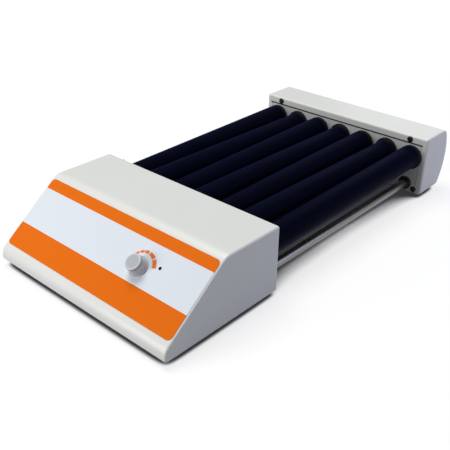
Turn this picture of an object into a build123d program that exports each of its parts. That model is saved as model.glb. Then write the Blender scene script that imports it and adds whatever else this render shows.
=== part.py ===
"""Tube roller mixer: seven eccentric rollers between a drive housing and a rear housing."""
from build123d import *
from math import acos, atan2, cos, degrees, hypot, pi, radians, sin, tan
import os

os.makedirs("parts", exist_ok=True)

# Overall sizes, in millimetres. X is across the rollers, Y runs from the panel to the rear.
housing_height = 74.0
front_depth = 153.5
roller_span = 290.5
rear_depth = 57.0
foot_height = 6.0

# Front housing profile: flat top, bend, sloped control face, rounded nose.
flat_top_depth = 75.0
chin_height = 12.2
bend_radius = 18.0
nose_radius = 16.0
chin_round = 3.6
edge_round = 2.5

# Rear housing profile: bowed back between two rounded corners.
rear_top_depth = 49.5
rear_foot_depth = 44.5
rear_bow_height = 41.0
rear_top_round = 9.0
rear_foot_round = 6.0

# Moulded walls, and the flange that frames each bearing plate.
wall = 2.6
flange_thickness = 2.0
flange_top = 9.3
flange_side = 7.6
fit_gap = 0.3
running_clearance = 0.05

# Steel bearing plates and base plates.
plate_backing = 3.0
seam_gap = 0.5
base_thickness = 2.0

# Rollers: a tube whose two ends sit off its turning axis, one up and one down.
roller_count = 7
roller_pitch = 35.0
roller_inset = 20.0
roller_drop = 27.2
roller_radius = 14.3
roller_wall = 2.0
roller_throw = 1.7
roller_end_gap = 5.2
cap_thickness = 1.5
plug_length = 12.0
shaft_radius = 4.0
disc_radius = 15.4
disc_thickness = 2.6
disc_bore_gap = 0.5
bush_radius = 7.0
bush_flange_radius = 8.6
bush_flange = 1.5

# Gear train behind the front bearing plate.
gear_module = 1.5
roller_teeth = 16
idler_teeth = 16
drive_teeth = 20
pinion_teeth = 12
gear_width = 6.0
addendum = 0.92
dedendum = 1.2
backlash = 0.24
pressure_angle = 20.0
idler_axle_radius = 3.0
idler_axle_head = 4.6
clip_thickness = 1.2

# Tie rods that join the two bearing plates.
rod_radius = 5.2
rod_inset = 22.5
rod_height = 10.6
rod_spigot_radius = 4.0
rod_washer_radius = 8.4
rod_washer_thickness = 2.0
rod_nut_width = 13.0
rod_nut_thickness = 5.0
rod_spigot_end = 1.2

# Control panel overlay and speed knob, measured down the slope from the bend.
panel_margin = 2.5
panel_lower_gap = 2.4
panel_corner = 5.0
panel_thickness = 0.4
knob_inset = 78.0
knob_drop = 39.5
knob_radius = 9.4
knob_taper = 3.5
knob_skirt_radius = 10.2
knob_skirt_height = 1.8
knob_height = 11.3
knob_round = 1.3
knob_lift = 0.4
knob_wall = 1.8
knob_nut_gap = 0.9
knob_roof = 2.5
pot_radius = 8.0
pot_depth = 9.0
pot_bushing_radius = 3.5
pot_bushing_height = 4.6
pot_shaft_radius = 3.0
pot_shaft_top = 8.0
pot_nut_width = 10.0
pot_nut_thickness = 2.0

# Gear motor, its bracket and the control board.
motor_clearance = 2.3
gearbox_length = 24.0
motor_length = 30.0
motor_can_step = 1.1
motor_boss_share = 0.324
motor_boss_length = 3.0
motor_shaft_radius = 3.0
bracket_thickness = 2.5
bracket_width = 44.0
bracket_foot = 16.0
bracket_foot_width = 14.0
bracket_foot_x = 14.0
bracket_rim = 2.0
motor_screw_inset = 4.0
motor_screw_count = 4
motor_screw_turn = 45.0
motor_screw_length = 6.0
board_width = 62.0
board_depth = 44.0
board_thickness = 1.6
board_inset = 63.0
board_setback = 64.0
board_lift = 6.0
board_part_x = 12.4
board_part_y = 8.8
transformer_side = 22.0
transformer_height = 17.0
capacitor_radius = 5.0
capacitor_height = 14.0
heat_sink_width = 20.0
heat_sink_thickness = 4.0
heat_sink_height = 18.0
standoff_radius = 3.0

# Power inlet and rocker switch, in a pocket of the left side wall.
pocket_setback = 56.0
pocket_rise = 26.0
inlet_offset = 13.0
switch_offset = 20.0
pocket_length = 62.0
pocket_height = 30.0
pocket_depth = 3.0
pocket_back = 3.0
inlet_width = 27.0
inlet_height = 20.0
inlet_depth = 18.0
inlet_wall = 2.2
inlet_flange = 2.5
inlet_flange_thickness = 1.2
pin_width = 4.0
pin_thickness = 2.0
pin_length = 9.0
pin_spacing = 7.0
pin_rise = 2.5
switch_width = 13.0
switch_height = 19.0
switch_depth = 14.0
switch_wall = 1.6
rocker_pivot_depth = 5.0
rocker_tilt = 8.0
rocker_gap = 0.45
rocker_rim = 1.8
rocker_hub_radius = 2.4
rocker_pin_radius = 1.2
rocker_pin_grip = 1.0
switch_flange = 2.0

# Fasteners and feet.
cover_screw_head = 3.8
cover_screw_height = 2.2
screw_crown_round = 1.3
cover_screw_radius = 1.5
cover_screw_length = 7.0
cover_screw_inset = 24.0
cover_screw_drop = 5.0
tab_screw_inset = 10.0
tab_screw_rise = 4.6
tab_width = 9.0
tab_height = 10.0
tab_thickness = 3.0
base_screw_head = 3.0
base_screw_radius = 1.5
base_screw_length = 10.0
boss_radius = 4.6
boss_inset = 9.0
rear_boss_setback = 13.5
foot_radius = 9.0
foot_inset = 24.0
foot_taper = 1.2
foot_stem_radius = 2.6
foot_button_radius = 4.0
foot_button_height = 1.6

# Places that follow from the sizes above.
overall_length = front_depth + roller_span + rear_depth
housing_width = (roller_count - 1) * roller_pitch + 2 * roller_inset
nose_y = -overall_length / 2
front_y = nose_y + front_depth
rear_y = front_y + roller_span
base_z = foot_height
top_z = base_z + housing_height
half_width = housing_width / 2
axis_height = top_z - roller_drop
slope_angle = degrees(atan2(housing_height - chin_height, front_depth - flat_top_depth))
rod_x = half_width - rod_inset
cover_screw_x = half_width - cover_screw_inset
tab_screw_x = half_width - tab_screw_inset
knob_x = half_width - knob_inset
board_x = board_inset - half_width
plate_thickness = flange_thickness + plate_backing
plate_half = half_width - wall - fit_gap
plate_top = top_z - wall - fit_gap
plate_bottom = base_z + base_thickness
pad_half = half_width - flange_side - seam_gap
pad_top = top_z - flange_top - seam_gap
base_gap = wall + fit_gap
roller_x = [(k - (roller_count - 1) / 2) * roller_pitch for k in range(roller_count)]
middle_roller = roller_count // 2


def save(part, name):
    """Label one finished sub-part and write it as a STEP file."""
    part.label = name
    export_step(part, f"parts/{name}.step")


def slope_z(y):
    """Height of the sloped control face above the ground at a given Y."""
    return top_z - (front_y - flat_top_depth - y) * tan(radians(slope_angle))


def along_y(x, y, z):
    """A plane at a point whose normal is +Y and whose local x is +X."""
    return Plane(origin=(x, y, z), x_dir=(1, 0, 0), z_dir=(0, 1, 0))


# The front housing's outline in the YZ plane: flat top, bend, slope, rounded nose.
with BuildSketch(Plane.YZ.offset(-half_width)) as front_outline:
    with BuildLine():
        bend = (front_y - flat_top_depth, top_z)
        chin = (nose_y, slope_z(nose_y))
        toe = (nose_y, base_z)
        heel = (front_y, base_z)
        FilletPolyline((front_y, top_z), bend, chin, toe, heel, radius=[bend_radius, nose_radius, chin_round])
        Line(heel, (front_y, top_z))
    make_face()

# The rear housing's outline: one arc bows the back between two rounded corners.
with BuildSketch(Plane.YZ.offset(-half_width)) as rear_outline:
    with BuildLine():
        top_rear = (rear_y + rear_top_depth, top_z)
        foot_rear = (rear_y + rear_foot_depth, base_z)
        Polyline(foot_rear, (rear_y, base_z), (rear_y, top_z), top_rear)
        ThreePointArc(top_rear, (rear_y + rear_depth, base_z + rear_bow_height), foot_rear)
    make_face()
    fillet(rear_outline.vertices().group_by(Axis.Y)[-1].sort_by(Axis.X)[-1], radius=rear_top_round)
    fillet(rear_outline.vertices().group_by(Axis.Y)[0].sort_by(Axis.X)[-1], radius=rear_foot_round)


# Front cover: a moulded shell, open below, with a flange round the bearing plate.
flange_screws = [
    (-cover_screw_x, top_z - cover_screw_drop),
    (cover_screw_x, top_z - cover_screw_drop),
]
tab_screws = [(sx * tab_screw_x, base_z + tab_screw_rise) for sx in (-1, 1)]
front_boss_y = nose_y + boss_inset + nose_radius
boss_x = half_width - wall - boss_inset
front_rear_boss_y = front_y - flange_thickness - plate_thickness - rear_boss_setback
rear_boss_y = rear_y + rear_foot_depth - boss_inset - wall
front_bosses = [(sx * boss_x, y) for sx in (-1, 1) for y in (front_boss_y, front_rear_boss_y)]
rear_bosses = [(sx * boss_x, rear_boss_y) for sx in (-1, 1)]
pocket_y = front_y - pocket_setback
pocket_z = base_z + pocket_rise
inlet_y = pocket_y - inlet_offset
switch_y = pocket_y + switch_offset

# The control face: local x is across the machine, local y runs up the slope.
slope_normal = (0, -sin(radians(slope_angle)), cos(radians(slope_angle)))
bend_run = bend_radius * tan(radians(slope_angle) / 2)
nose_run = nose_radius * tan(radians(90 - slope_angle) / 2)
slope_length = hypot(housing_height - chin_height, front_depth - flat_top_depth)
panel_length = slope_length - bend_run - nose_run - panel_lower_gap
panel_top_y = front_y - flat_top_depth - bend_run * cos(radians(slope_angle))
panel_top = (0, panel_top_y, slope_z(panel_top_y))
control_face = Plane(origin=panel_top, x_dir=(1, 0, 0), z_dir=slope_normal)
knob_centre = control_face.from_local_coords((knob_x, -knob_drop, 0))
knob_plane = Plane(origin=knob_centre, x_dir=(1, 0, 0), z_dir=slope_normal)

with BuildPart() as front_cover:
    extrude(front_outline.sketch, amount=housing_width)
    side_edges = front_cover.faces().filter_by(Axis.X).edges()
    rim = side_edges.filter_by(lambda e: e.center().Z > base_z + running_clearance)
    top_rear_edge = front_cover.edges().filter_by(Axis.X).sort_by(lambda e: e.center().Z + e.center().Y)[-1]
    fillet(rim + [top_rear_edge], radius=edge_round)
    with BuildSketch(Plane.YZ.offset(-half_width + wall)):
        add(front_outline.sketch_local)
        offset(amount=-wall)
        with Locations(((nose_y + chin_round + front_y) / 2, base_z)):
            Rectangle(front_depth - chin_round - 2 * wall, 4 * wall)
        split_y = front_y - flange_thickness
        with Locations((split_y - 2 * wall, (base_z + top_z - wall) / 2)):
            Rectangle(4 * wall, housing_height - wall)
    extrude(amount=housing_width - 2 * wall, mode=Mode.SUBTRACT)
    with BuildSketch(along_y(0, front_y - flange_thickness, base_z)):
        Rectangle(2 * (half_width - flange_side), 2 * (housing_height - flange_top))
    extrude(amount=2 * flange_thickness, both=True, mode=Mode.SUBTRACT)
    # Screw bosses that reach from the base plate to the inside of the cover.
    for x, y in front_bosses:
        boss_top = min(top_z, slope_z(y - boss_radius)) - wall / 2
        with BuildSketch(Plane.XY.offset(base_z + base_thickness)):
            with Locations((x, y)):
                Circle(boss_radius)
        extrude(amount=boss_top - base_z - base_thickness)
        with BuildSketch(Plane.XY.offset(base_z + base_thickness)):
            with Locations((x, y)):
                Circle(base_screw_radius + running_clearance)
        extrude(amount=base_screw_length, mode=Mode.SUBTRACT)
    # A thicker patch of the left wall holds the pocket for the inlet and the switch.
    with BuildSketch(Plane.YZ.offset(-half_width + wall / 2)):
        with Locations((pocket_y, pocket_z)):
            Rectangle(pocket_length + 2 * wall, pocket_height + 2 * wall)
    extrude(amount=pocket_depth + pocket_back - wall / 2)
    with BuildSketch(Plane.YZ.offset(-half_width)):
        with Locations((pocket_y, pocket_z)):
            RectangleRounded(pocket_length, pocket_height, 2 * edge_round)
    extrude(amount=pocket_depth, mode=Mode.SUBTRACT)
    with BuildSketch(Plane.YZ.offset(-half_width)):
        with Locations((inlet_y, pocket_z)):
            Rectangle(inlet_width + 2 * fit_gap, inlet_height + 2 * fit_gap)
        with Locations((switch_y, pocket_z)):
            Rectangle(switch_width + 2 * fit_gap, switch_height + 2 * fit_gap)
    extrude(amount=pocket_depth + pocket_back + wall, mode=Mode.SUBTRACT)
    # Clearance holes for the flange screws.
    for x, z in flange_screws:
        with BuildSketch(along_y(x, front_y, z)):
            Circle(cover_screw_radius + running_clearance)
        extrude(amount=flange_thickness, both=True, mode=Mode.SUBTRACT)
    # The hole for the potentiometer's bushing.
    with BuildSketch(knob_plane):
        Circle(pot_bushing_radius + fit_gap)
    extrude(amount=2 * wall, both=True, mode=Mode.SUBTRACT)
save(front_cover.part, "front_cover")

# Control panel: a thin printed overlay on the slope.
with BuildPart() as control_panel:
    with BuildSketch(control_face):
        with Locations((0, -panel_length / 2)):
            RectangleRounded(housing_width - 2 * panel_margin, panel_length, panel_corner)
        with Locations((knob_x, -knob_drop)):
            Circle(pot_bushing_radius + fit_gap, mode=Mode.SUBTRACT)
    extrude(amount=panel_thickness)
save(control_panel.part, "control_panel")

# Potentiometer body and bushing, its nut, its shaft and the knob.
with BuildPart() as potentiometer:
    with BuildSketch(knob_plane.offset(-wall)):
        Circle(pot_radius)
    extrude(amount=-pot_depth)
    with BuildSketch(knob_plane.offset(-wall)):
        Circle(pot_bushing_radius)
    extrude(amount=wall + pot_bushing_height)
    with BuildSketch(knob_plane.offset(-wall - pot_depth / 2)):
        Circle(pot_shaft_radius + running_clearance)
    extrude(amount=2 * pot_depth, mode=Mode.SUBTRACT)
save(potentiometer.part, "potentiometer")

with BuildPart() as pot_nut:
    with BuildSketch(knob_plane.offset(panel_thickness)):
        RegularPolygon(pot_nut_width / 2, 6, major_radius=False)
        Circle(pot_bushing_radius + running_clearance, mode=Mode.SUBTRACT)
    extrude(amount=pot_nut_thickness)
save(pot_nut.part, "pot_nut")

with BuildPart() as pot_shaft:
    with BuildSketch(knob_plane.offset(-wall - pot_depth / 2 + fit_gap)):
        Circle(pot_shaft_radius)
    extrude(amount=wall + pot_depth / 2 - fit_gap + pot_shaft_top)
save(pot_shaft.part, "pot_shaft")

knob_bottom = panel_thickness + knob_lift
with BuildPart() as speed_knob:
    with BuildSketch(knob_plane.offset(knob_bottom)):
        Circle(knob_radius)
    extrude(amount=knob_height, taper=knob_taper)
    face_edge = speed_knob.edges().filter_by(GeomType.CIRCLE).sort_by(lambda e: e.radius)[0]
    fillet(face_edge, radius=knob_round)
    with BuildSketch(knob_plane.offset(knob_bottom)):
        Circle(knob_skirt_radius)
    extrude(amount=knob_skirt_height)
    with BuildSketch(knob_plane.offset(knob_bottom)):
        Circle(knob_radius - knob_wall)
        Circle(pot_shaft_radius + knob_wall, mode=Mode.SUBTRACT)
    extrude(amount=knob_height - knob_roof, mode=Mode.SUBTRACT)
    bore_top = pot_shaft_top + fit_gap - knob_bottom
    with BuildSketch(knob_plane.offset(knob_bottom)):
        Circle(pot_shaft_radius + running_clearance)
    extrude(amount=bore_top, mode=Mode.SUBTRACT)
    with BuildSketch(knob_plane.offset(knob_bottom)):
        Circle(pot_nut_width / 2 + knob_nut_gap)
    extrude(amount=pot_bushing_height - knob_bottom + fit_gap, mode=Mode.SUBTRACT)
save(speed_knob.part, "speed_knob")

# Rear cover: the same kind of shell, bowed at the back.
with BuildPart() as rear_cover:
    extrude(rear_outline.sketch, amount=housing_width)
    side_edges = rear_cover.faces().filter_by(Axis.X).edges()
    rim = side_edges.filter_by(lambda e: e.center().Z > base_z + running_clearance)
    top_front_edge = rear_cover.edges().filter_by(Axis.X).sort_by(lambda e: e.center().Z - e.center().Y)[-1]
    fillet(rim + [top_front_edge], radius=edge_round)
    with BuildSketch(Plane.YZ.offset(-half_width + wall)):
        add(rear_outline.sketch_local)
        offset(amount=-wall)
        with Locations((rear_y + rear_foot_depth / 2, base_z)):
            Rectangle(rear_foot_depth - 2 * wall, 4 * wall)
        with Locations((rear_y + flange_thickness + 2 * wall, (base_z + top_z - wall) / 2)):
            Rectangle(4 * wall, housing_height - wall)
    extrude(amount=housing_width - 2 * wall, mode=Mode.SUBTRACT)
    with BuildSketch(along_y(0, rear_y, base_z)):
        Rectangle(2 * (half_width - flange_side), 2 * (housing_height - flange_top))
    extrude(amount=flange_thickness, both=True, mode=Mode.SUBTRACT)
    with BuildSketch(Plane.XY.offset(base_z + base_thickness)):
        with Locations(rear_bosses):
            Circle(boss_radius)
    extrude(amount=housing_height - base_thickness - wall / 2)
    with BuildSketch(Plane.XY.offset(base_z + base_thickness)):
        with Locations(rear_bosses):
            Circle(base_screw_radius + running_clearance)
    extrude(amount=base_screw_length, mode=Mode.SUBTRACT)
    for x, z in flange_screws:
        with BuildSketch(along_y(x, rear_y, z)):
            Circle(cover_screw_radius + running_clearance)
        extrude(amount=flange_thickness, both=True, mode=Mode.SUBTRACT)
save(rear_cover.part, "rear_cover")

# Gear centres: each idler sits below and between two roller gears.
centre_distance = gear_module * (roller_teeth + idler_teeth) / 2
idler_drop = (centre_distance**2 - (roller_pitch / 2) ** 2) ** 0.5
mesh_angle = degrees(atan2(idler_drop, roller_pitch / 2))
idler_x = [x + roller_pitch / 2 for x in roller_x[:-1]]
idler_z = axis_height - idler_drop
pinion_drop = gear_module * (drive_teeth + pinion_teeth) / 2
pinion_z = axis_height - pinion_drop


# Bearing plates: a backing behind the cover's flange, and a raised pad that fills its opening.
def bearing_plate(y, direction, axle_bores):
    """One stepped plate whose outer face is at y and whose thickness runs along direction."""
    with BuildPart() as plate:
        for half, top, depth in ((plate_half, plate_top, flange_thickness), (pad_half, pad_top, 0)):
            with BuildSketch(along_y(0, y + direction * depth, 0)):
                with Locations((0, -(plate_bottom + top) / 2)):
                    Rectangle(2 * half, top - plate_bottom)
            extrude(amount=direction * (plate_thickness - depth))
        with BuildSketch(along_y(0, y, 0)):
            with Locations([(x, -axis_height) for x in roller_x]):
                Circle(bush_radius + running_clearance)
            with Locations([(x, -(base_z + rod_height)) for x in (-rod_x, rod_x)]):
                Circle(rod_spigot_radius + running_clearance)
            with Locations([(x, -z) for x, z in flange_screws + tab_screws]):
                Circle(cover_screw_radius + running_clearance)
            if axle_bores:
                with Locations([(x, -idler_z) for x in idler_x]):
                    Circle(idler_axle_radius + running_clearance)
        extrude(amount=direction * plate_thickness, mode=Mode.SUBTRACT)
    return plate.part


save(bearing_plate(front_y, -1, True), "front_plate")
save(bearing_plate(rear_y, 1, False), "rear_plate")


# Base plates close each housing below, and their upturned tabs take the bearing plate's screws.
def base_plate(plate_y, direction, far_y, bosses, feet, standoffs, slots):
    """A flat base from under the bearing plate to far_y, with its tabs, holes and standoffs."""
    near_y = plate_y + direction * (flange_thickness + fit_gap)
    tab_y = plate_y + direction * (plate_thickness + tab_thickness / 2)
    with BuildPart() as base:
        with BuildSketch(Plane.XY.offset(base_z)):
            with Locations((0, (near_y + far_y) / 2)):
                Rectangle(2 * (half_width - base_gap), abs(far_y - near_y))
            with Locations((0, (plate_y + near_y) / 2)):
                Rectangle(2 * pad_half, abs(near_y - plate_y))
        extrude(amount=base_thickness)
        with BuildSketch(Plane.XY.offset(base_z)):
            with Locations([(x, tab_y) for x, z in tab_screws]):
                Rectangle(tab_width, tab_thickness)
        extrude(amount=base_thickness + tab_height)
        with BuildSketch(Plane.XY.offset(base_z)):
            with Locations(bosses + slots):
                Circle(base_screw_radius + running_clearance)
            with Locations(feet):
                Circle(foot_stem_radius + running_clearance)
        extrude(amount=base_thickness, mode=Mode.SUBTRACT)
        with BuildSketch(along_y(0, plate_y, 0)):
            with Locations([(x, -z) for x, z in tab_screws]):
                Circle(cover_screw_radius + running_clearance)
        extrude(amount=direction * (plate_thickness + tab_thickness), mode=Mode.SUBTRACT)
        if standoffs:
            with BuildSketch(Plane.XY.offset(base_z + base_thickness)):
                with Locations(standoffs):
                    Circle(standoff_radius)
            extrude(amount=board_lift)
    return base.part


board_y = front_y - board_setback
drive_x = roller_x[middle_roller]
standoff_x = board_width / 2 - 2 * standoff_radius
standoff_y = board_depth / 2 - 2 * standoff_radius
standoff_spots = [(board_x + sx * standoff_x, board_y + sy * standoff_y) for sx in (-1, 1) for sy in (-1, 1)]
gear_y = front_y - plate_thickness - bush_flange - fit_gap
drive_y = gear_y - gear_width - 2 * fit_gap - clip_thickness
bracket_y = drive_y - gear_width - 2 * fit_gap - motor_boss_length
foot_x = half_width - foot_inset
bracket_foot_y = bracket_y - bracket_foot / 2
bracket_screws = [(drive_x + side * bracket_foot_x, bracket_foot_y) for side in (-1, 1)]
front_feet = [(side * foot_x, y) for side in (-1, 1) for y in (nose_y + foot_inset, front_y - foot_inset)]
rear_feet = [(side * foot_x, rear_y + foot_inset) for side in (-1, 1)]
front_base = base_plate(
    front_y, -1, nose_y + chin_round + base_gap, front_bosses, front_feet, standoff_spots, bracket_screws
)
rear_base = base_plate(rear_y, 1, rear_y + rear_foot_depth - base_gap, rear_bosses, rear_feet, [], [])
save(front_base, "front_base")
save(rear_base, "rear_base")

# Rubber feet: tapered pads whose stems snap through the base plates.
with BuildPart() as rubber_feet:
    for x, y in front_feet + rear_feet:
        with BuildSketch(Plane.XY.offset(base_z)):
            with Locations((x, y)):
                Circle(foot_radius)
        extrude(amount=-foot_height, taper=degrees(atan2(foot_taper, foot_height)))
        with BuildSketch(Plane.XY.offset(base_z)):
            with Locations((x, y)):
                Circle(foot_stem_radius)
        extrude(amount=base_thickness + foot_button_height)
        with BuildSketch(Plane.XY.offset(base_z + base_thickness)):
            with Locations((x, y)):
                Circle(foot_button_radius)
        extrude(amount=foot_button_height)
save(rubber_feet.part, "rubber_feet")

# Tie rods: ground bars with a turned spigot at each end that passes through the plates.
rod_front_y = front_y + rod_washer_thickness
rod_rear_y = rear_y - rod_washer_thickness
spigot_length = rod_washer_thickness + plate_thickness + rod_nut_thickness + rod_spigot_end
rod_sides = {"left_tie_rod": -rod_x, "right_tie_rod": rod_x}
for rod_name, x in rod_sides.items():
    with BuildPart() as tie_rod:
        with BuildSketch(along_y(x, rod_front_y, base_z + rod_height)):
            Circle(rod_radius)
        extrude(amount=rod_rear_y - rod_front_y)
        with BuildSketch(along_y(x, rod_front_y - spigot_length, base_z + rod_height)):
            Circle(rod_spigot_radius)
        extrude(amount=rod_rear_y - rod_front_y + 2 * spigot_length)
    save(tie_rod.part, rod_name)

with BuildPart() as rod_washers:
    for x in rod_sides.values():
        for y in (front_y, rod_rear_y):
            with BuildSketch(along_y(x, y, base_z + rod_height)):
                Circle(rod_washer_radius)
                Circle(rod_spigot_radius + running_clearance, mode=Mode.SUBTRACT)
            extrude(amount=rod_washer_thickness)
save(rod_washers.part, "rod_washers")

with BuildPart() as rod_nuts:
    for x in rod_sides.values():
        for y in (front_y - plate_thickness - rod_nut_thickness, rear_y + plate_thickness):
            with BuildSketch(along_y(x, y, base_z + rod_height)):
                RegularPolygon(rod_nut_width / 2, 6, major_radius=False)
                Circle(rod_spigot_radius + running_clearance, mode=Mode.SUBTRACT)
            extrude(amount=rod_nut_thickness)
save(rod_nuts.part, "rod_nuts")

# Bushes pressed into the plates from the inside, and the black discs on the roller side.
bush_length = plate_thickness + bush_flange
with BuildPart() as front_bushes:
    for x in roller_x:
        with BuildSketch(along_y(x, front_y, axis_height)):
            Circle(bush_radius)
        extrude(amount=-bush_length)
        with BuildSketch(along_y(x, front_y - plate_thickness, axis_height)):
            Circle(bush_flange_radius)
        extrude(amount=-bush_flange)
        with BuildSketch(along_y(x, front_y, axis_height)):
            Circle(shaft_radius + running_clearance)
        extrude(amount=-bush_length, mode=Mode.SUBTRACT)
save(front_bushes.part, "front_bushes")

with BuildPart() as rear_bushes:
    for x in roller_x:
        with BuildSketch(along_y(x, rear_y, axis_height)):
            Circle(bush_radius)
        extrude(amount=bush_length)
        with BuildSketch(along_y(x, rear_y + plate_thickness, axis_height)):
            Circle(bush_flange_radius)
        extrude(amount=bush_flange)
        with BuildSketch(along_y(x, rear_y, axis_height)):
            Circle(shaft_radius + running_clearance)
        extrude(amount=bush_length, mode=Mode.SUBTRACT)
save(rear_bushes.part, "rear_bushes")

disc_places = {"front_discs": front_y, "rear_discs": rear_y - disc_thickness}
for disc_name, y in disc_places.items():
    with BuildPart() as discs:
        with BuildSketch(along_y(0, y, axis_height)):
            with Locations([(x, 0) for x in roller_x]):
                Circle(disc_radius)
                Circle(shaft_radius + disc_bore_gap, mode=Mode.SUBTRACT)
        extrude(amount=disc_thickness)
    save(discs.part, disc_name)


# Gears. A tooth's flank is read off the involute at the root, the pitch circle and the tip.
def flank_angle(radius, teeth):
    """Half the angle that a tooth spans at a radius, in degrees, from the involute formula."""
    pitch_radius = gear_module * teeth / 2
    base_radius = pitch_radius * cos(radians(pressure_angle))
    roll = acos(min(1.0, base_radius / max(radius, base_radius)))
    start = radians(pressure_angle)
    half_pitch = (pi * gear_module / 2 - backlash) / (2 * pitch_radius)
    return degrees(half_pitch + (tan(start) - start) - (tan(roll) - roll))


def gear_outline(teeth, phase):
    """Corner points of a spur gear with one tooth centred on the phase angle, in degrees."""
    pitch_radius = gear_module * teeth / 2
    root = pitch_radius - dedendum * gear_module
    tip = pitch_radius + addendum * gear_module
    corners = []
    for tooth in range(teeth):
        centre = phase + 360 * tooth / teeth
        rising = [(radius, centre - flank_angle(radius, teeth)) for radius in (root, pitch_radius, tip)]
        falling = [(radius, 2 * centre - angle) for radius, angle in reversed(rising)]
        corners += [(r * cos(radians(a)), r * sin(radians(a))) for r, a in rising + falling]
    return corners


def spur_gear(x, z, y, teeth, phase, bore, width=gear_width):
    """A spur gear about the Y axis at (x, z), whose rear face is at y and front face in front of it."""
    with BuildPart() as gear:
        with BuildSketch(Plane(origin=(x, y, z), x_dir=(1, 0, 0), z_dir=(0, -1, 0))):
            Polygon(*gear_outline(teeth, phase), align=None)
            Circle(bore, mode=Mode.SUBTRACT)
        extrude(amount=width)
    return gear.part


def meshing_phase(teeth, direction, other_teeth, other_phase):
    """Phase of a gear so that its gap faces the other's tooth, met in the given direction."""
    other_turn = (direction + 180 - other_phase) * other_teeth / 360
    return direction - (0.5 - other_turn) * 360 / teeth


# Roller gears and idlers alternate, each one phased from the one before it.
roller_phase = [0.0]
idler_phase = []
for k in range(roller_count - 1):
    idler_phase.append(meshing_phase(idler_teeth, 180 - mesh_angle, roller_teeth, roller_phase[k]))
    roller_phase.append(meshing_phase(roller_teeth, 180 + mesh_angle, idler_teeth, idler_phase[k]))

for k, x in enumerate(roller_x):
    gear = spur_gear(x, axis_height, gear_y, roller_teeth, roller_phase[k], shaft_radius + running_clearance)
    save(gear, f"roller_gear_{k + 1}")

for k, x in enumerate(idler_x):
    gear = spur_gear(x, idler_z, gear_y, idler_teeth, idler_phase[k], idler_axle_radius + running_clearance)
    save(gear, f"idler_gear_{k + 1}")

drive_gear = spur_gear(drive_x, axis_height, drive_y, drive_teeth, 0.0, shaft_radius + running_clearance)
save(drive_gear, "drive_gear")
pinion_phase = meshing_phase(pinion_teeth, 90.0, drive_teeth, 0.0)
motor_pinion = spur_gear(
    drive_x, pinion_z, drive_y, pinion_teeth, pinion_phase, motor_shaft_radius + running_clearance
)
save(motor_pinion, "motor_pinion")

# Idler axles: studs in the front plate, each with a spacer collar and an end clip.
with BuildPart() as idler_axles:
    for x in idler_x:
        with BuildSketch(along_y(x, front_y, idler_z)):
            Circle(idler_axle_radius)
        extrude(amount=gear_y - gear_width - fit_gap - clip_thickness - front_y)
        with BuildSketch(along_y(x, front_y - plate_thickness, idler_z)):
            Circle(idler_axle_head)
        extrude(amount=-bush_flange)
        with BuildSketch(along_y(x, gear_y - gear_width - fit_gap, idler_z)):
            Circle(idler_axle_head)
        extrude(amount=-clip_thickness)
save(idler_axles.part, "idler_axles")

# Rollers: the tube's axis runs from one side of the turning axis to the other.
tube_front_y = front_y + roller_end_gap
tube_rear_y = rear_y - roller_end_gap
tube_run = tube_rear_y - tube_front_y
tube_middle_y = (tube_front_y + tube_rear_y) / 2
shaft_end_y = gear_y - gear_width - fit_gap
drive_shaft_end_y = drive_y - gear_width - fit_gap
rear_shaft_end_y = rear_y + bush_length + fit_gap
for k, x in enumerate(roller_x):
    lift = roller_throw if k % 2 == 0 else -roller_throw
    tube_axis = Vector(0, tube_run, 2 * lift).normalized()
    tube_length = hypot(tube_run, 2 * lift)
    tube_plane = Plane(origin=(x, tube_middle_y, axis_height), x_dir=(1, 0, 0), z_dir=tube_axis)
    with BuildPart() as roller_tube:
        with BuildSketch(tube_plane):
            Circle(roller_radius)
            Circle(roller_radius - roller_wall, mode=Mode.SUBTRACT)
        extrude(amount=tube_length / 2, both=True)
    save(roller_tube.part, f"roller_tube_{k + 1}")
    front_end_y = drive_shaft_end_y if k == middle_roller else shaft_end_y
    with BuildPart() as roller_ends:
        for side in (-1, 1):
            with BuildSketch(tube_plane.offset(side * tube_length / 2)):
                Circle(roller_radius - fit_gap)
            extrude(amount=side * cap_thickness)
            with BuildSketch(tube_plane.offset(side * tube_length / 2)):
                Circle(roller_radius - roller_wall - running_clearance)
            extrude(amount=-side * plug_length)
        with BuildSketch(along_y(x, front_end_y, axis_height)):
            Circle(shaft_radius)
        extrude(amount=tube_front_y + plug_length / 2 - front_end_y)
        with BuildSketch(along_y(x, rear_shaft_end_y, axis_height)):
            Circle(shaft_radius)
        extrude(amount=tube_rear_y - plug_length / 2 - rear_shaft_end_y)
    save(roller_ends.part, f"roller_ends_{k + 1}")

# Gear motor: gearbox with a boss, the can behind it and the output shaft.
motor_face_y = bracket_y - bracket_thickness
motor_radius = pinion_z - base_z - base_thickness - motor_clearance
motor_boss_radius = motor_radius * motor_boss_share
motor_screw_circle = motor_radius - motor_screw_inset
with BuildPart() as gear_motor:
    with BuildSketch(along_y(drive_x, motor_face_y, pinion_z)):
        Circle(motor_radius)
    extrude(amount=-gearbox_length)
    with BuildSketch(along_y(drive_x, motor_face_y - gearbox_length, pinion_z)):
        Circle(motor_radius - motor_can_step)
    extrude(amount=-motor_length)
    can_end = gear_motor.faces().sort_by(Axis.Y)[0].edges()
    fillet(can_end, radius=cap_thickness)
    with BuildSketch(along_y(drive_x, motor_face_y, pinion_z)):
        Circle(motor_boss_radius)
    extrude(amount=bracket_thickness)
    with BuildSketch(along_y(drive_x, motor_face_y - gearbox_length / 2, pinion_z)):
        Circle(motor_shaft_radius + running_clearance)
    extrude(amount=gearbox_length, mode=Mode.SUBTRACT)
    with BuildSketch(along_y(drive_x, motor_face_y, pinion_z)):
        with PolarLocations(motor_screw_circle, motor_screw_count, motor_screw_turn):
            Circle(base_screw_radius + running_clearance)
    extrude(amount=-motor_screw_length, mode=Mode.SUBTRACT)
save(gear_motor.part, "gear_motor")

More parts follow.
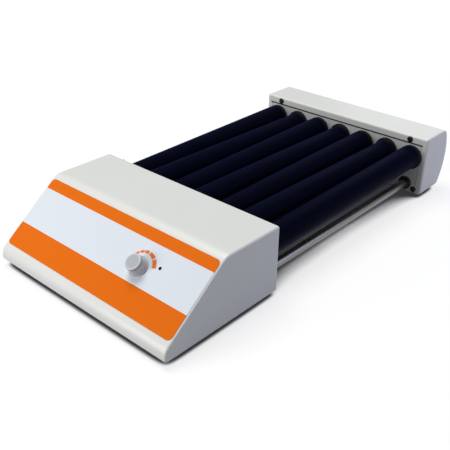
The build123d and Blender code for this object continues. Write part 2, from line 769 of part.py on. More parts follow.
with BuildPart() as motor_shaft:
    with BuildSketch(along_y(drive_x, motor_face_y - gearbox_length / 2 + fit_gap, pinion_z)):
        Circle(motor_shaft_radius)
    extrude(amount=drive_y - motor_face_y + gearbox_length / 2 - fit_gap)
save(motor_shaft.part, "motor_shaft")

bracket_top = pinion_z + motor_radius + bracket_rim
bracket_foot_z = base_z + base_thickness
with BuildPart() as motor_bracket:
    with BuildSketch(along_y(drive_x, bracket_y, 0)):
        with Locations((0, -(bracket_foot_z + bracket_top) / 2)):
            Rectangle(bracket_width, bracket_top - bracket_foot_z)
    extrude(amount=-bracket_thickness)
    with BuildSketch(Plane.XY.offset(bracket_foot_z)):
        with Locations(bracket_screws):
            Rectangle(bracket_foot_width, bracket_foot)
    extrude(amount=bracket_thickness)
    with BuildSketch(along_y(drive_x, bracket_y, pinion_z)):
        Circle(motor_boss_radius + running_clearance)
        with PolarLocations(motor_screw_circle, motor_screw_count, motor_screw_turn):
            Circle(base_screw_radius + running_clearance)
    extrude(amount=-bracket_thickness, mode=Mode.SUBTRACT)
    with BuildSketch(Plane.XY.offset(bracket_foot_z)):
        with Locations(bracket_screws):
            Circle(base_screw_radius + running_clearance)
    extrude(amount=bracket_thickness, mode=Mode.SUBTRACT)
save(motor_bracket.part, "motor_bracket")


# Control board: a bare board with its transformer, capacitor, heat sink and terminals.
board_z = base_z + base_thickness + board_lift
with BuildPart() as control_board:
    with BuildSketch(Plane.XY.offset(board_z)):
        with Locations((board_x, board_y)):
            Rectangle(board_width, board_depth)
    extrude(amount=board_thickness)
    with BuildSketch(Plane.XY.offset(board_z + board_thickness)):
        with Locations((board_x - board_part_x, board_y)):
            Rectangle(transformer_side, transformer_side)
    extrude(amount=transformer_height)
    with BuildSketch(Plane.XY.offset(board_z + board_thickness)):
        with Locations((board_x + board_part_x, board_y - board_part_y)):
            Circle(capacitor_radius)
    extrude(amount=capacitor_height)
    with BuildSketch(Plane.XY.offset(board_z + board_thickness)):
        with Locations((board_x + board_part_x, board_y + board_part_y)):
            Rectangle(heat_sink_width, heat_sink_thickness)
    extrude(amount=heat_sink_height)
save(control_board.part, "control_board")


# Power inlet and rocker switch, seen from the left: local x runs forward, local y up.
def left_plane(y, z, depth):
    """A plane facing out of the left wall, at a depth inside its outer face."""
    return Plane(origin=(-half_width + depth, y, z), x_dir=(0, -1, 0), z_dir=(-1, 0, 0))


inlet_cavity = inlet_depth - inlet_wall
with BuildPart() as power_inlet:
    with BuildSketch(left_plane(inlet_y, pocket_z, pocket_depth)):
        RectangleRounded(inlet_width + 2 * inlet_flange, inlet_height + 2 * inlet_flange, inlet_flange)
    extrude(amount=inlet_flange_thickness)
    with BuildSketch(left_plane(inlet_y, pocket_z, pocket_depth)):
        Rectangle(inlet_width, inlet_height)
    extrude(amount=-inlet_depth)
    with BuildSketch(left_plane(inlet_y, pocket_z, pocket_depth - inlet_flange_thickness)):
        Rectangle(inlet_width - 2 * inlet_wall, inlet_height - 2 * inlet_wall)
    extrude(amount=-inlet_cavity, mode=Mode.SUBTRACT)
    with BuildSketch(left_plane(inlet_y, pocket_z, pocket_depth - inlet_flange_thickness + inlet_cavity)):
        with Locations((0, pin_rise), (-pin_spacing, -pin_rise), (pin_spacing, -pin_rise)):
            Rectangle(pin_thickness, pin_width)
    extrude(amount=pin_length)
save(power_inlet.part, "power_inlet")

rocker_width = switch_width - 2 * switch_wall - 2 * rocker_gap
rocker_half = switch_height / 2 - switch_wall - 2 * rocker_gap
pivot_plane = left_plane(switch_y, pocket_z, pocket_depth - inlet_flange_thickness + rocker_pivot_depth)
with BuildPart() as switch_frame:
    with BuildSketch(left_plane(switch_y, pocket_z, pocket_depth)):
        RectangleRounded(switch_width + 2 * switch_flange, switch_height + 2 * switch_flange, switch_flange)
    extrude(amount=inlet_flange_thickness)
    with BuildSketch(left_plane(switch_y, pocket_z, pocket_depth)):
        Rectangle(switch_width, switch_height)
    extrude(amount=-switch_depth)
    with BuildSketch(left_plane(switch_y, pocket_z, pocket_depth - inlet_flange_thickness)):
        Rectangle(switch_width - 2 * switch_wall, switch_height - 2 * switch_wall)
    extrude(amount=-rocker_pivot_depth - 2 * rocker_hub_radius, mode=Mode.SUBTRACT)
    with BuildSketch(Plane(origin=pivot_plane.origin, x_dir=(0, 0, 1), z_dir=(0, 1, 0))):
        Circle(rocker_pin_radius + running_clearance)
    extrude(amount=rocker_width / 2 + rocker_gap + rocker_pin_grip, both=True, mode=Mode.SUBTRACT)
save(switch_frame.part, "switch_frame")

# The rocker is drawn level about its pivot, then turned to its off position.
rocker_dip = rocker_half * tan(radians(rocker_tilt))
rocker_pivot = pivot_plane.origin
with BuildPart() as switch_rocker:
    with BuildSketch(Plane(origin=(0, 0, 0), x_dir=(0, 0, 1), z_dir=(0, 1, 0))):
        with BuildLine():
            Polyline(
                (-rocker_half, -rocker_pivot_depth),
                (0, rocker_dip - rocker_pivot_depth),
                (rocker_half, -rocker_pivot_depth),
                (rocker_half, rocker_rim - rocker_pivot_depth),
                (rocker_hub_radius, rocker_hub_radius),
                (-rocker_hub_radius, rocker_hub_radius),
                (-rocker_half, rocker_rim - rocker_pivot_depth),
                close=True,
            )
        make_face()
    extrude(amount=rocker_width / 2, both=True)
    with BuildSketch(Plane(origin=(0, 0, 0), x_dir=(0, 0, 1), z_dir=(0, 1, 0))):
        Circle(rocker_pin_radius)
    extrude(amount=rocker_width / 2 + rocker_gap + rocker_pin_grip - running_clearance, both=True)
rocker_at_off = switch_rocker.part.rotate(Axis.Y, -rocker_tilt).moved(Location(rocker_pivot))
save(rocker_at_off, "switch_rocker")


# Fasteners: one pan-head shape at every screw place.
def add_screw(head_plane, head_radius, shank_radius, shank_length):
    """One pan-head screw: a rounded head on the plane and a plain shank behind it."""
    with BuildPart() as screw:
        with BuildSketch(head_plane):
            Circle(head_radius)
        extrude(amount=cover_screw_height)
        crown = screw.faces().filter_by(GeomType.PLANE).sort_by(
            lambda face: (face.center() - head_plane.origin).dot(head_plane.z_dir)
        )[-1]
        fillet(crown.edges(), radius=screw_crown_round)
        with BuildSketch(head_plane):
            Circle(shank_radius)
        extrude(amount=-shank_length)
    return screw.part


def facing_front(x, y, z):
    """A plane at a point whose normal is -Y."""
    return Plane(origin=(x, y, z), x_dir=(1, 0, 0), z_dir=(0, -1, 0))


with BuildPart() as cover_screws:
    for x, z in flange_screws + tab_screws:
        add(add_screw(along_y(x, front_y, z), cover_screw_head, cover_screw_radius, cover_screw_length))
        add(add_screw(facing_front(x, rear_y, z), cover_screw_head, cover_screw_radius, cover_screw_length))
save(cover_screws.part, "cover_screws")

with BuildPart() as base_screws:
    for x, y in front_bosses + rear_bosses:
        under = Plane(origin=(x, y, base_z), x_dir=(1, 0, 0), z_dir=(0, 0, -1))
        add(add_screw(under, base_screw_head, base_screw_radius, base_screw_length))
save(base_screws.part, "base_screws")

with BuildPart() as motor_screws:
    for spot in PolarLocations(motor_screw_circle, motor_screw_count, motor_screw_turn):
        x = drive_x + spot.position.X
        z = pinion_z + spot.position.Y
        add(add_screw(along_y(x, bracket_y, z), base_screw_head, base_screw_radius, motor_screw_length))
    for x, y in bracket_screws:
        on_foot = Plane.XY.offset(bracket_foot_z + bracket_thickness)
        screw_plane = Plane(origin=(x, y, on_foot.origin.Z), x_dir=(1, 0, 0), z_dir=(0, 0, 1))
        add(add_screw(screw_plane, base_screw_head, base_screw_radius, bracket_thickness + base_thickness))
save(motor_screws.part, "motor_screws")
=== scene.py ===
# %% [markdown]
# # Dressing a tube roller mixer
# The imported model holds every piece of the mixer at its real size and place. This lesson
# gives those pieces their finishes, adds the print and the fine surface forms that a solid
# model leaves out, and sets the light and the camera as in the reference picture.

import bpy
import numpy as np
from mathutils import Matrix, Vector


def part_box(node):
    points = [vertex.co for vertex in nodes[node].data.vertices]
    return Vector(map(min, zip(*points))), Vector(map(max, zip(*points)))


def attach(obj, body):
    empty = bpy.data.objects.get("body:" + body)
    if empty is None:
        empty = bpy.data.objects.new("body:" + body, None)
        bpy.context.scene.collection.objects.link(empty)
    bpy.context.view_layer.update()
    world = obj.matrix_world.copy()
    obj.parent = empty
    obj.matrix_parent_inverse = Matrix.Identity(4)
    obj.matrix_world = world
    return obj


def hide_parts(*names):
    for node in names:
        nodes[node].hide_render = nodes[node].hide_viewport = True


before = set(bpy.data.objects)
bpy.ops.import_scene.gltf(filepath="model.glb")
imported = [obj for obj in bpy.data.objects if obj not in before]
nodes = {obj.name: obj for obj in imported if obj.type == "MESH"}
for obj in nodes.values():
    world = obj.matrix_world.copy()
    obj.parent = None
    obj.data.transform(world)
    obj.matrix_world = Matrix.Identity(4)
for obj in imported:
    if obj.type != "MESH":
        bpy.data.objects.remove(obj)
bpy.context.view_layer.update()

# %% [markdown]
# Sizes come from the frame wherever a node can tell them, so that the new pieces follow the
# model. Blender works in metres, so one named value turns millimetres into metres.

# %% Measure the model
MM = 0.001


def corners(node):
    """The lowest and highest corner of a node, as two numpy arrays in metres."""
    low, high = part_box(node)
    return np.array(low), np.array(high)


cover_high = corners("front_cover")[1]
rear_low = corners("rear_cover")[0]
half_width = cover_high[0]
top_z = cover_high[2]
front_y = cover_high[1]
rear_y = rear_low[1]
print("width, front and rear faces:", round(2 * half_width, 4), round(front_y, 4), round(rear_y, 4))

# %% [markdown]
# Shader maths reads best as ordinary expressions. The small class below wraps one socket, so
# that `0.3 + wave * 0.2` adds the Math nodes by itself. Any other node comes from one method
# that takes the node's type, its settings and its inputs.

# %% Shader expressions


class Field:
    """One socket of a node tree, with operators that add Math nodes."""

    def __init__(self, maker, socket):
        self.maker = maker
        self.socket = socket

    def math(self, operation, *others):
        """A Math node on this field and other fields or numbers."""
        return self.maker.node("ShaderNodeMath", {"operation": operation}, [self, *others])[0]

    def __add__(self, other):
        return self.math("ADD", other)

    def __radd__(self, other):
        return self.math("ADD", other)

    def __sub__(self, other):
        return self.math("SUBTRACT", other)

    def __mul__(self, other):
        return self.math("MULTIPLY", other)

    def __gt__(self, other):
        return self.math("GREATER_THAN", other)

    def __lt__(self, other):
        return self.math("LESS_THAN", other)


class Finish:
    """A material under construction, with one Principled shader."""

    def __init__(self, name, colour, roughness, **values):
        self.material = bpy.data.materials.new(name)
        self.material.use_nodes = True
        self.tree = self.material.node_tree
        self.shader = self.tree.nodes["Principled BSDF"]
        self.shader.inputs["Base Color"].default_value = (*colour, 1.0)
        self.shader.inputs["Roughness"].default_value = roughness
        for socket, value in values.items():
            self.shader.inputs[socket.replace("_", " ")].default_value = value
        self.place = self.node("ShaderNodeTexCoord", {}, [])[3]

    def node(self, kind, settings, inputs):
        """Add a node, set it up, fill its inputs by name or number, and wrap its outputs."""
        made = self.tree.nodes.new(kind)
        for key, value in settings.items():
            setattr(made, key, value)
        pairs = inputs.items() if isinstance(inputs, dict) else enumerate(inputs)
        for key, value in pairs:
            if isinstance(value, Field):
                self.tree.links.new(value.socket, made.inputs[key])
            else:
                made.inputs[key].default_value = value
        return [Field(self, socket) for socket in made.outputs]

    def drive(self, socket, field):
        """Feed one of the shader's own sockets."""
        self.tree.links.new(field.socket, self.shader.inputs[socket])

    def noise(self, scale, detail=2.0, roughness=0.5, place=None):
        """Noise between 0 and 1 whose grains are 1 / scale metres wide."""
        inputs = {"Vector": place or self.place, "Scale": scale}
        inputs |= {"Detail": detail, "Roughness": roughness}
        return self.node("ShaderNodeTexNoise", {}, inputs)[0]

    def ramp(self, field, low, high, at_low, at_high):
        """Run evenly from at_low to at_high as the field goes from low to high."""
        return self.node("ShaderNodeMapRange", {}, [field, low, high, at_low, at_high])[0]

    def vector(self, operation, *inputs):
        """The outputs of a Vector Math node: a vector, then a number."""
        return self.node("ShaderNodeVectorMath", {"operation": operation}, inputs)

    def stretch(self, scale):
        """Object coordinates scaled along X, Y and Z, for grain that runs one way."""
        inputs = {"Vector": self.place, "Scale": scale}
        return self.node("ShaderNodeMapping", {}, inputs)[0]

    def mix(self, mask, first, second):
        """Blend two colours, or fields of colour, by a mask."""
        first, second = (
            value if isinstance(value, Field) else (*value, 1.0) for value in (first, second)
        )
        inputs = {0: mask, 6: first, 7: second}
        return self.node("ShaderNodeMix", {"data_type": "RGBA"}, inputs)[2]

    def bump(self, height, depth):
        """Turn a height field of 0 to 1 into relief that is depth metres deep."""
        inputs = {"Strength": 1.0, "Distance": depth, "Height": height}
        self.drive("Normal", self.node("ShaderNodeBump", {}, inputs)[0])


def srgb(red, green, blue):
    """A colour given as 0 to 255 screen values, as the linear values a shader takes."""
    scaled = np.array([red, green, blue]) / 255
    return tuple(np.where(scaled <= 0.04045, scaled / 12.92, ((scaled + 0.055) / 1.055) ** 2.4))


# %% [markdown]
# The two covers are moulded in a satin off-white plastic. Real mouldings are never quite
# even: a fine spark-eroded grain breaks the reflection, and broad, faint drifts of colour
# and gloss come from handling. Both are noise at two scales.

# %% Moulded covers and painted steel
MICRON = 0.001 * MM
fine_grain = 2600.0

def moulding(name, colour, roughness, grain, drift):
    """Satin plastic: grain in microns of relief, and drift as the share of colour variation."""
    finish = Finish(name, colour, roughness, Specular_IOR_Level=0.5)
    cloud = finish.noise(9.0, 3.0)
    darker = tuple(channel * (1 - drift) for channel in colour)
    finish.drive("Base Color", finish.mix(cloud, colour, darker))
    finish.drive("Roughness", roughness + (finish.noise(40.0, 4.0) - 0.5) * 0.16)
    finish.bump(finish.noise(fine_grain, 2.0, 0.6), grain * MICRON)
    return finish.material


shell_white = moulding("satin_shell", srgb(226, 227, 221), 0.36, 20.0, 0.04)
plate_white = moulding("painted_plate", srgb(214, 216, 211), 0.42, 30.0, 0.05)
base_grey = moulding("powder_coat", srgb(196, 198, 197), 0.55, 60.0, 0.05)
disc_black = moulding("black_moulding", srgb(15, 15, 17), 0.45, 30.0, 0.1)
rubber_black = moulding("foot_rubber", srgb(28, 28, 28), 0.8, 80.0, 0.1)
gear_white = moulding("acetal", srgb(232, 230, 220), 0.32, 10.0, 0.02)
board_green = moulding("board_green", srgb(30, 92, 55), 0.4, 30.0, 0.1)

# %% [markdown]
# The rollers are covered in a smooth sleeve, black with a blue sheen. Turning marks and tubes
# that roll on it leave fine rings round it, so the noise is squeezed along the roller and long
# around it.

# %% Roller sleeve
ring_squeeze = (60.0, 900.0, 60.0)
sleeve = Finish(
    "roller_sleeve", srgb(4, 7, 20), 0.5, Specular_IOR_Level=0.012,
    Sheen_Weight=0.09, Sheen_Roughness=0.35, Sheen_Tint=(0.02, 0.06, 0.9, 1.0),
)
rings = sleeve.noise(1.0, 3.0, 0.6, sleeve.stretch(ring_squeeze))
smudge = sleeve.noise(26.0, 3.0)
sleeve.drive("Base Color", sleeve.mix(smudge, srgb(3, 5, 14), srgb(5, 9, 28)))
sleeve.drive("Roughness", 0.48 + (smudge - 0.5) * 0.2 + (rings - 0.5) * 0.1)
sleeve.bump(rings, 20.0 * MICRON)

# %% [markdown]
# The tie rods are ground steel. Grinding leaves hair lines round the bar, which stretch a
# highlight, so the noise is again squeezed along the bar.

# %% Metals


def metal(name, colour, roughness, squeeze):
    """Bare metal whose hair lines follow the given stretch of the noise."""
    finish = Finish(name, colour, roughness, Metallic=1.0)
    lines = finish.noise(1.0, 3.0, 0.7, finish.stretch(squeeze))
    finish.drive("Roughness", roughness + (lines - 0.5) * 0.22)
    finish.bump(lines, 12.0 * MICRON)
    return finish.material


rod_steel = metal("ground_steel", srgb(132, 129, 121), 0.3, (200.0, 4000.0, 200.0))
zinc_steel = metal("zinc_plate", srgb(186, 188, 190), 0.34, (700.0, 700.0, 700.0))
pinion_brass = metal("pinion_brass", srgb(212, 178, 98), 0.3, (500.0, 2500.0, 500.0))
screw_black = metal("blackened_steel", srgb(46, 46, 48), 0.38, (900.0, 900.0, 900.0))

# %% [markdown]
# The control panel is a printed overlay. Its stripes run across the slope, so the pattern
# needs one number: how far down the slope a point lies. That is the dot product of the
# point's place with the slope's direction, and one comparison on it marks each stripe.

# %% Printed control panel


def vertices(node):
    """A node's vertices as an array of x, y, z rows in metres."""
    mesh = nodes[node].data
    flat = np.empty(3 * len(mesh.vertices))
    mesh.vertices.foreach_get("co", flat)
    return flat.reshape(-1, 3)


panel = vertices("control_panel")
panel_top = panel[panel[:, 2].argmax()] * np.array([0, 1, 1])
panel_foot = panel[panel[:, 1].argmin()] * np.array([0, 1, 1])
panel_length = np.linalg.norm(panel_foot - panel_top)
down_slope = (panel_foot - panel_top) / panel_length
out_of_slope = np.array([0.0, down_slope[2], -down_slope[1]])
print("panel length down the slope:", round(panel_length, 4))

upper_stripe_end = 12.3 * MM
lower_stripe_start = 56.6 * MM
print_orange = srgb(229, 113, 22)
print_white = srgb(222, 227, 232)

overlay = Finish("printed_overlay", print_white, 0.4, Specular_IOR_Level=0.1)
along = overlay.vector("DOT_PRODUCT", overlay.place, tuple(down_slope))[1]
drop = along - float(panel_top @ down_slope)
striped = (drop < upper_stripe_end) + (drop > lower_stripe_start)
cloud = overlay.noise(12.0, 2.0)
white_print = overlay.mix(cloud, print_white, srgb(218, 225, 231))
orange_print = overlay.mix(cloud, print_orange, srgb(226, 106, 14))
overlay.drive("Base Color", overlay.mix(striped, white_print, orange_print))
overlay.drive("Roughness", 0.3 + (overlay.noise(60.0, 3.0) - 0.5) * 0.1)
overlay.bump(overlay.noise(3200.0, 1.0), 10.0 * MICRON)

# %% [markdown]
# The knob's cap carries a painted highlight: a paler ring near its rim. Its grip carries painted
# light and shade, lighter low down and darker towards the cap. All lie on one piece, so the finish
# works with two distances that do not change when the knob turns: how far a point stands out of the
# slope, and how far it is from the knob's axis.

# %% Knob
cap_grey = srgb(178, 182, 186)
# Painted highlight on the cap's rim, and painted light and shade on the grip.
rim_highlight_grey = srgb(216, 218, 219)
grip_painted_shade = srgb(150, 152, 155)
grip_painted_light = srgb(192, 194, 196)
cap_thickness = 0.5 * MM
grip_shade_height = 4.0 * MM
rim_highlight_inner = 6.2 * MM
rim_highlight_outer = 8.6 * MM

knob_points = vertices("speed_knob")
knob_heights = knob_points @ out_of_slope
cap_points = knob_points[knob_heights > knob_heights.max() - 0.1 * MM]
cap_centre = (cap_points.min(axis=0) + cap_points.max(axis=0)) / 2

knob_grey = Finish("knob_plastic", cap_grey, 0.36, Specular_IOR_Level=0.4)
from_cap = knob_grey.vector("SUBTRACT", knob_grey.place, tuple(cap_centre))[0]
out = knob_grey.vector("DOT_PRODUCT", from_cap, tuple(out_of_slope))[1]
reach = knob_grey.vector("LENGTH", from_cap)[1]
off_axis = (reach * reach - out * out).math("SQRT")
# Painted highlight: a paler ring on the cap near its rim.
rim = knob_grey.ramp(off_axis, rim_highlight_inner, rim_highlight_outer, 0.0, 1.0)
# Painted light and shade on the grip: lighter low down, darker towards the cap.
shade = knob_grey.ramp(out, -grip_shade_height, 0.0, 0.0, 1.0)
on_cap = out > -cap_thickness
grip = knob_grey.mix(shade, grip_painted_light, grip_painted_shade)
knob_grey.drive("Base Color", knob_grey.mix(on_cap, grip, knob_grey.mix(rim, cap_grey, rim_highlight_grey)))
knob_grey.drive("Roughness", 0.34 + (knob_grey.noise(400.0, 2.0) - 0.5) * 0.12)
knob_grey.bump(knob_grey.noise(fine_grain, 2.0, 0.6), 30.0 * MICRON)
print("knob face centre:", [round(value, 4) for value in cap_centre])

# %% [markdown]
# Every node of the model takes its finish by its name. A dictionary of beginnings is enough,
# since the pieces of one kind share the beginning of their names.

# %% Give each node its finish
finish_of = {
    "front_cover": shell_white,
    "rear_cover": shell_white,
    "front_plate": plate_white,
    "rear_plate": plate_white,
    "front_base": base_grey,
    "rear_base": base_grey,
    "front_discs": disc_black,
    "rear_discs": disc_black,
    "front_bushes": gear_white,
    "rear_bushes": gear_white,
    "roller_tube": sleeve.material,
    "roller_ends": disc_black,
    "roller_gear": gear_white,
    "idler_gear": gear_white,
    "idler_axles": zinc_steel,
    "drive_gear": gear_white,
    "motor_pinion": pinion_brass,
    "motor": zinc_steel,
    "gear_motor": zinc_steel,
    "left_tie_rod": rod_steel,
    "right_tie_rod": rod_steel,
    "rod_washers": disc_black,
    "rod_nuts": zinc_steel,
    "cover_screws": screw_black,
    "base_screws": zinc_steel,
    "control_panel": overlay.material,
    "control_board": board_green,
    "speed_knob": knob_grey.material,
    "pot_nut": zinc_steel,
    "pot_shaft": zinc_steel,
    "potentiometer": disc_black,
    "power_inlet": disc_black,
    "switch_frame": disc_black,
    "switch_rocker": disc_black,
    "rubber_feet": rubber_black,
}
for name, piece in nodes.items():
    start = max((key for key in finish_of if name.startswith(key)), key=len)
    piece.data.materials.clear()
    piece.data.materials.append(finish_of[start])
print("finishes given to", len(nodes), "nodes")

# %% [markdown]
# New meshes are grids of points worked out as arrays. One helper turns a grid into a mesh:
# it joins neighbours into quads, can close the columns into a ring, and can fill the two
# ends of a ring that has four columns.

# %% Grid helper


def grid_mesh(name, points, finish, close_columns=False, fill_ends=False, smooth=True):
    """A mesh from points of shape (rows, columns, 3), or from several such grids at once."""
    grids = points.reshape(-1, *points.shape[-3:])
    count, rows, columns = grids.shape[:3]
    index = np.arange(rows * columns).reshape(rows, columns)
    column = np.arange(columns if close_columns else columns - 1)
    r, c = np.meshgrid(np.arange(rows - 1), column, indexing="ij")
    c2 = (c + 1) % columns
    quads = np.stack([index[r, c], index[r, c2], index[r + 1, c2], index[r + 1, c]], axis=-1)
    quads = quads.reshape(-1, 4)
    if fill_ends:
        quads = np.concatenate([quads, index[0, ::-1][None], index[-1][None]])
    quads = quads + np.arange(count)[:, None, None] * rows * columns
    mesh = bpy.data.meshes.new(name)
    mesh.from_pydata(points.reshape(-1, 3).tolist(), [], quads.reshape(-1, 4).tolist())
    mesh.polygons.foreach_set("use_smooth", np.full(len(mesh.polygons), smooth))
    mesh.materials.append(finish)
    piece = bpy.data.objects.new(name, mesh)
    bpy.context.collection.objects.link(piece)
    return piece


# %% [markdown]
# Round the knob a scale of five orange blocks grows from thin to thick, and a black dot marks
# its end. They are print with a little thickness, so each block is a closed grid: its
# section is a flat box, and its outer radius grows with the angle.

# %% Scale round the knob
knob_low, knob_high = corners("speed_knob")
knob_centre = (knob_low + knob_high) / 2
knob_drop = float((knob_centre - panel_top) @ down_slope)
print_height = 0.06 * MM
scale_inner = 14.2 * MM
scale_outer_start = 16.2 * MM
scale_outer_end = 19.0 * MM
scale_blocks = ((146.0, 128.0), (124.0, 107.0), (104.0, 86.0), (81.0, 53.0), (48.0, 17.0))
scale_start_angle = scale_blocks[0][0]
scale_end_angle = scale_blocks[-1][1]
orange_ink = moulding("orange_ink", srgb(230, 118, 42), 0.35, 10.0, 0.04)
black_ink = moulding("black_ink", srgb(14, 14, 16), 0.3, 10.0, 0.05)


def on_panel(across, down, height):
    """Points on the panel from distances across it, down it and out of it."""
    place = panel_top + down[..., None] * down_slope + height[..., None] * out_of_slope
    place[..., 0] += across
    return place


def scale_block(name, start, end):
    """One block: angle runs along the rows, and the columns go round its box section."""
    angle = np.radians(np.linspace(start, end, 13))
    growth = (scale_start_angle - np.degrees(angle)) / (scale_start_angle - scale_end_angle)
    outer = scale_outer_start + growth * (scale_outer_end - scale_outer_start)
    inner = np.full_like(outer, scale_inner)
    radius = np.stack([inner, outer, outer, inner], axis=1)
    height = np.zeros_like(radius) + np.array([0, 0, 1, 1]) * print_height
    across = knob_centre[0] + radius * np.cos(angle)[:, None]
    down = knob_drop - radius * np.sin(angle)[:, None]
    points = on_panel(across, down, height)
    return grid_mesh(name, points, orange_ink, close_columns=True, fill_ends=True, smooth=False)


for number, (start, end) in enumerate(scale_blocks, 1):
    block = scale_block(f"scale_block_{number}", start, end)
    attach(block, "frame")

dot_angle = np.radians(19.0)
dot_distance = 23.6 * MM
dot_radius = 1.75 * MM
ring = np.linspace(0, 2 * np.pi, 32, endpoint=False)
radii = np.array([0.0, 1.0, 1.0, 0.0]) * dot_radius
heights = np.array([1.0, 1.0, 0.0, 0.0]) * print_height
across = knob_centre[0] + dot_distance * np.cos(dot_angle) + radii[:, None] * np.cos(ring)
down = knob_drop - dot_distance * np.sin(dot_angle) - radii[:, None] * np.sin(ring)
dot_points = on_panel(across, down, np.broadcast_to(heights[:, None], across.shape))
scale_dot = grid_mesh("scale_dot", dot_points, black_ink, close_columns=True, smooth=False)
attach(scale_dot, "frame")
print("scale blocks and dot sit", round(knob_drop, 4), "m down the panel")

# %% [markdown]
# The screws are pan heads with a cross recess. A head is a grid in polar form: rings from the
# rim to the middle, and a height that follows a flattened dome. Inside the cross, where the
# smaller of two distances to the arms is under half an arm's width, the height drops, and
# soft edges lead down into it.

# %% Screw heads with a cross recess
head_radius = 3.8 * MM
head_height = 1.5 * MM
recess_reach = 2.2 * MM
recess_half_width = 0.45 * MM
recess_depth = 0.9 * MM
arm_edge = 0.25 * MM
tip_edge = 0.3 * MM
rim_drop = 0.75
recess_rise = 0.4
ring_share = np.concatenate([[1.0, 1.0], np.linspace(0.97, 0.0, 30)])
head_angle = np.linspace(0, 2 * np.pi, 96, endpoint=False)


def screw_head(x, y, z, facing, turn):
    """Points of a pan head at (x, y, z) whose crown looks along facing * Y, turned by turn."""
    radius = ring_share[:, None] * head_radius * np.ones_like(head_angle)
    across = radius * np.cos(head_angle)
    up = radius * np.sin(head_angle)
    dome = head_height * (1 - rim_drop * ring_share[:, None] ** 4) ** 0.5 * np.ones_like(across)
    arm = np.minimum(np.abs(across), np.abs(up)) - recess_half_width
    inside = np.clip(-arm / arm_edge + 0.5, 0, 1)
    inside = inside * np.clip((recess_reach - radius) / tip_edge, 0, 1)
    height = dome - recess_depth * inside * (1 - recess_rise * radius / recess_reach)
    height[0] = 0.0
    x_points = x + across * np.cos(turn) - up * np.sin(turn)
    z_points = z + across * np.sin(turn) + up * np.cos(turn)
    return np.stack([x_points, y + facing * height, z_points], axis=-1)


screw_low, screw_high = corners("cover_screws")
screw_step = 14.0 * MM
lower_x = screw_high[0] - head_radius
upper_x = lower_x - screw_step
upper_z = screw_high[2] - head_radius
lower_z = screw_low[2] + head_radius
places = [
    (sign * across, plate_y, height, facing)
    for plate_y, facing in ((front_y, 1), (rear_y, -1))
    for across, height in ((upper_x, upper_z), (lower_x, lower_z))
    for sign in (-1, 1)
]
turns = np.radians([20, 65, 38, 80, 12, 50, 33, 71])
heads = np.stack([screw_head(*place, turn) for place, turn in zip(places, turns)])
screw_heads = grid_mesh("screw_heads", heads, screw_black, close_columns=True)
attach(screw_heads, "frame")
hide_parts("cover_screws")
print("screw heads at heights", round(upper_z, 4), "and", round(lower_z, 4))

# %% [markdown]
# A dark cord fills the seam between each cover's flange and the top of the bearing plate. It is
# painted shade: a dark piece that stands for the shadow line of the seam. It is a tube of small
# section, drawn as a grid along the seam.

# %% Dark cord as painted shade in the upper seams
seam_height = 9.55 * MM
shade_cord_radius = 1.3 * MM
shade_cord_sink = 0.92 * MM
shade_cord_half_length = half_width - 6.0 * MM
shade_cord_angle = np.linspace(0, 2 * np.pi, 16, endpoint=False)
shade_cord_x = np.linspace(-shade_cord_half_length, shade_cord_half_length, 60)


def seam_shade_cord(plate_y, facing):
    """Points of a thin cord along X in the seam of one plate, sunk a little behind its face."""
    y = plate_y + facing * (shade_cord_radius * np.cos(shade_cord_angle) - shade_cord_sink)
    z = top_z - seam_height + shade_cord_radius * np.sin(shade_cord_angle)
    return np.stack(np.broadcast_arrays(shade_cord_x[:, None], y, z), axis=-1)


# Painted shade: each dark cord stands for the shadow line in its seam.
shade_cords = np.stack([seam_shade_cord(front_y, 1), seam_shade_cord(rear_y, -1)])
seam_shade_cords = grid_mesh("seam_shade_cords", shade_cords, rubber_black, close_columns=True)
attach(seam_shade_cords, "frame")
print("cord length", round(2 * shade_cord_half_length, 4), "m")

# %% [markdown]
# The picture was taken from the right and above, with a lens of medium length. The camera's
# place and turn were solved from the corners of the two housings, so they are written as
# a place in metres and three angles.

# %% Camera
camera_place = Vector((0.47437, -0.56864, 0.40825))
camera_azimuth = np.radians(41.683)
camera_elevation = np.radians(29.302)
camera_roll = np.radians(0.803)
focal_pixels = 707.1
frame_pixels = 450.0
sensor_width = 36.0

look = Vector((
    -np.sin(camera_azimuth) * np.cos(camera_elevation),
    np.cos(camera_azimuth) * np.cos(camera_elevation),
    -np.sin(camera_elevation),
))
level_right = look.cross(Vector((0, 0, 1))).normalized()
level_up = level_right.cross(look)
camera_right = level_right * np.cos(camera_roll) + level_up * np.sin(camera_roll)
camera_up = level_up * np.cos(camera_roll) - level_right * np.sin(camera_roll)
camera_data = bpy.data.cameras.new("camera")
camera_data.sensor_width = sensor_width
camera_data.lens = focal_pixels / frame_pixels * sensor_width
camera_data.clip_start = 0.01
camera = bpy.data.objects.new("camera", camera_data)
bpy.context.collection.objects.link(camera)
turn = Matrix((camera_right, camera_up, -look)).transposed()
camera.matrix_world = Matrix.Translation(camera_place) @ turn.to_4x4()
bpy.context.scene.camera = camera
print("lens", round(camera_data.lens, 2), "mm")

# %% [markdown]
# The floor is pale paper. Its white is only what the camera and the reflections see: for those rays
# it gives off light, which stays out of the light on the mixer. Where the floor is closed in from
# above, as under the rollers, its colour and glow fade to a painted deep shade.

# %% Floor
floor_size = 6.0
paper_colour = (0.28, 0.28, 0.29)
seen_colour = (0.24, 0.24, 0.24)
deep_shade = (0.03, 0.032, 0.06)
shade_reach = 0.12
closed_in, open_above = 0.3, 0.5
near_glow, far_glow = 0.78, 0.97
near_distance, far_distance = 0.6, 2.2
white = (1.0, 1.0, 1.0, 1.0)

half = floor_size / 2
floor_corners = [(-half, -half, 0), (half, -half, 0), (half, half, 0), (-half, half, 0)]
floor_mesh = bpy.data.meshes.new("floor")
floor_mesh.from_pydata(floor_corners, [], [(0, 1, 2, 3)])
floor = bpy.data.objects.new("floor", floor_mesh)
bpy.context.collection.objects.link(floor)

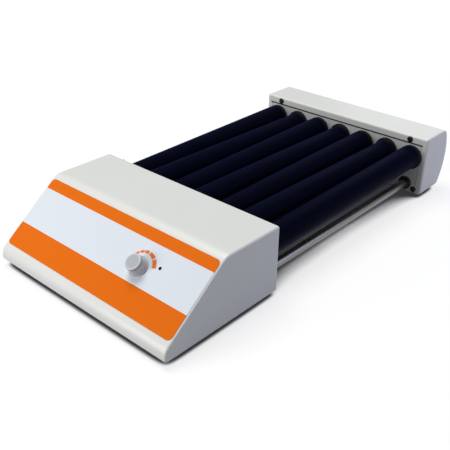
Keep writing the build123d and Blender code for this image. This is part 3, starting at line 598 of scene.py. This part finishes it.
paper = Finish("paper_floor", paper_colour, 0.9, Specular_IOR_Level=0.0)
rays = paper.node("ShaderNodeLightPath", {}, [])
camera_ray, glossy_ray, transmission_ray = rays[0], rays[3], rays[6]
background_ray = camera_ray.math("MAXIMUM", glossy_ray.math("MAXIMUM", transmission_ray))
# Painted shade: an ambient occlusion mask darkens the floor's colour and glow where it is closed in
# from above.
openness = paper.node("ShaderNodeAmbientOcclusion", {"samples": 48}, {"Distance": shade_reach})[1]
in_the_open = paper.ramp(openness, closed_in, open_above, 0.04, 1.0)
shaded = paper.mix(in_the_open, deep_shade, seen_colour)
paper.drive("Base Color", paper.mix(background_ray, paper_colour, shaded))
distance = paper.vector("LENGTH", paper.place)[1]
glow = paper.ramp(distance, near_distance, far_distance, near_glow, far_glow)
paper.drive("Emission Strength", background_ray * in_the_open * glow)
paper.shader.inputs["Emission Color"].default_value = white
paper.material.cycles.emission_sampling = "NONE"
floor_mesh.materials.append(paper.material)
print("floor:", floor_size, "m wide")

# %% [markdown]
# The world is white where the camera sees it, also through clear pieces, and a dim, slightly
# blue light otherwise.

# %% World
world_strength = 0.26
world_tint = (0.93, 0.97, 1.06)

world = bpy.data.worlds.new("studio")
bpy.context.scene.world = world
world.use_nodes = True
world_nodes = world.node_tree
background = world_nodes.nodes["Background"]
light_path = world_nodes.nodes.new("ShaderNodeLightPath")
seen = world_nodes.nodes.new("ShaderNodeMath")
seen.operation = "MAXIMUM"
blend = world_nodes.nodes.new("ShaderNodeMix")
blend.data_type = "RGBA"
blend.inputs[6].default_value = (*(world_strength * tint for tint in world_tint), 1)
blend.inputs[7].default_value = white
world_nodes.links.new(light_path.outputs["Is Camera Ray"], seen.inputs[0])
world_nodes.links.new(light_path.outputs["Is Transmission Ray"], seen.inputs[1])
world_nodes.links.new(seen.outputs[0], blend.inputs[0])
world_nodes.links.new(blend.outputs[2], background.inputs["Color"])
print("world strength:", world_strength)

# %% [markdown]
# Four soft lamps light the mixer. A large one hangs above it, a small one lights the slope and
# the nose from the front left, a cool one from the low right gives the sides their blue
# cast, and a weak one lights the back. Each row says place, target, size in metres, power in
# watts, and colour.

# %% Lamps
lamps = {
    "key_lamp": ((-0.9, 0.1, 3.1), (0, 0, 0.05), 1.8, 74.0, (1.0, 0.995, 0.975)),
    "front_lamp": ((-0.45, -1.25, 0.25), (0, -0.25, 0.04), 0.6, 7.6, (1.0, 0.985, 1.0)),
    "cool_lamp": ((1.0, 0.7, 0.4), (0.1, 0.2, 0.04), 0.5, 2.7, (0.5, 0.56, 1.0)),
    "rear_lamp": ((-0.5, 1.7, 0.7), (0, 0.25, 0.04), 0.8, 2.0, (1.0, 0.99, 0.97)),
}
for name, (place, target, size, power, colour) in lamps.items():
    data = bpy.data.lights.new(name, "AREA")
    data.shape = "SQUARE"
    data.size = size
    data.energy = power
    data.color = colour
    made = bpy.data.objects.new(name, data)
    bpy.context.collection.objects.link(made)
    made.location = place
    toward = Vector(target) - Vector(place)
    made.rotation_euler = toward.to_track_quat("-Z", "Y").to_euler()
print("lamps:", ", ".join(lamps))

bpy.context.scene.view_settings.view_transform = "Standard"
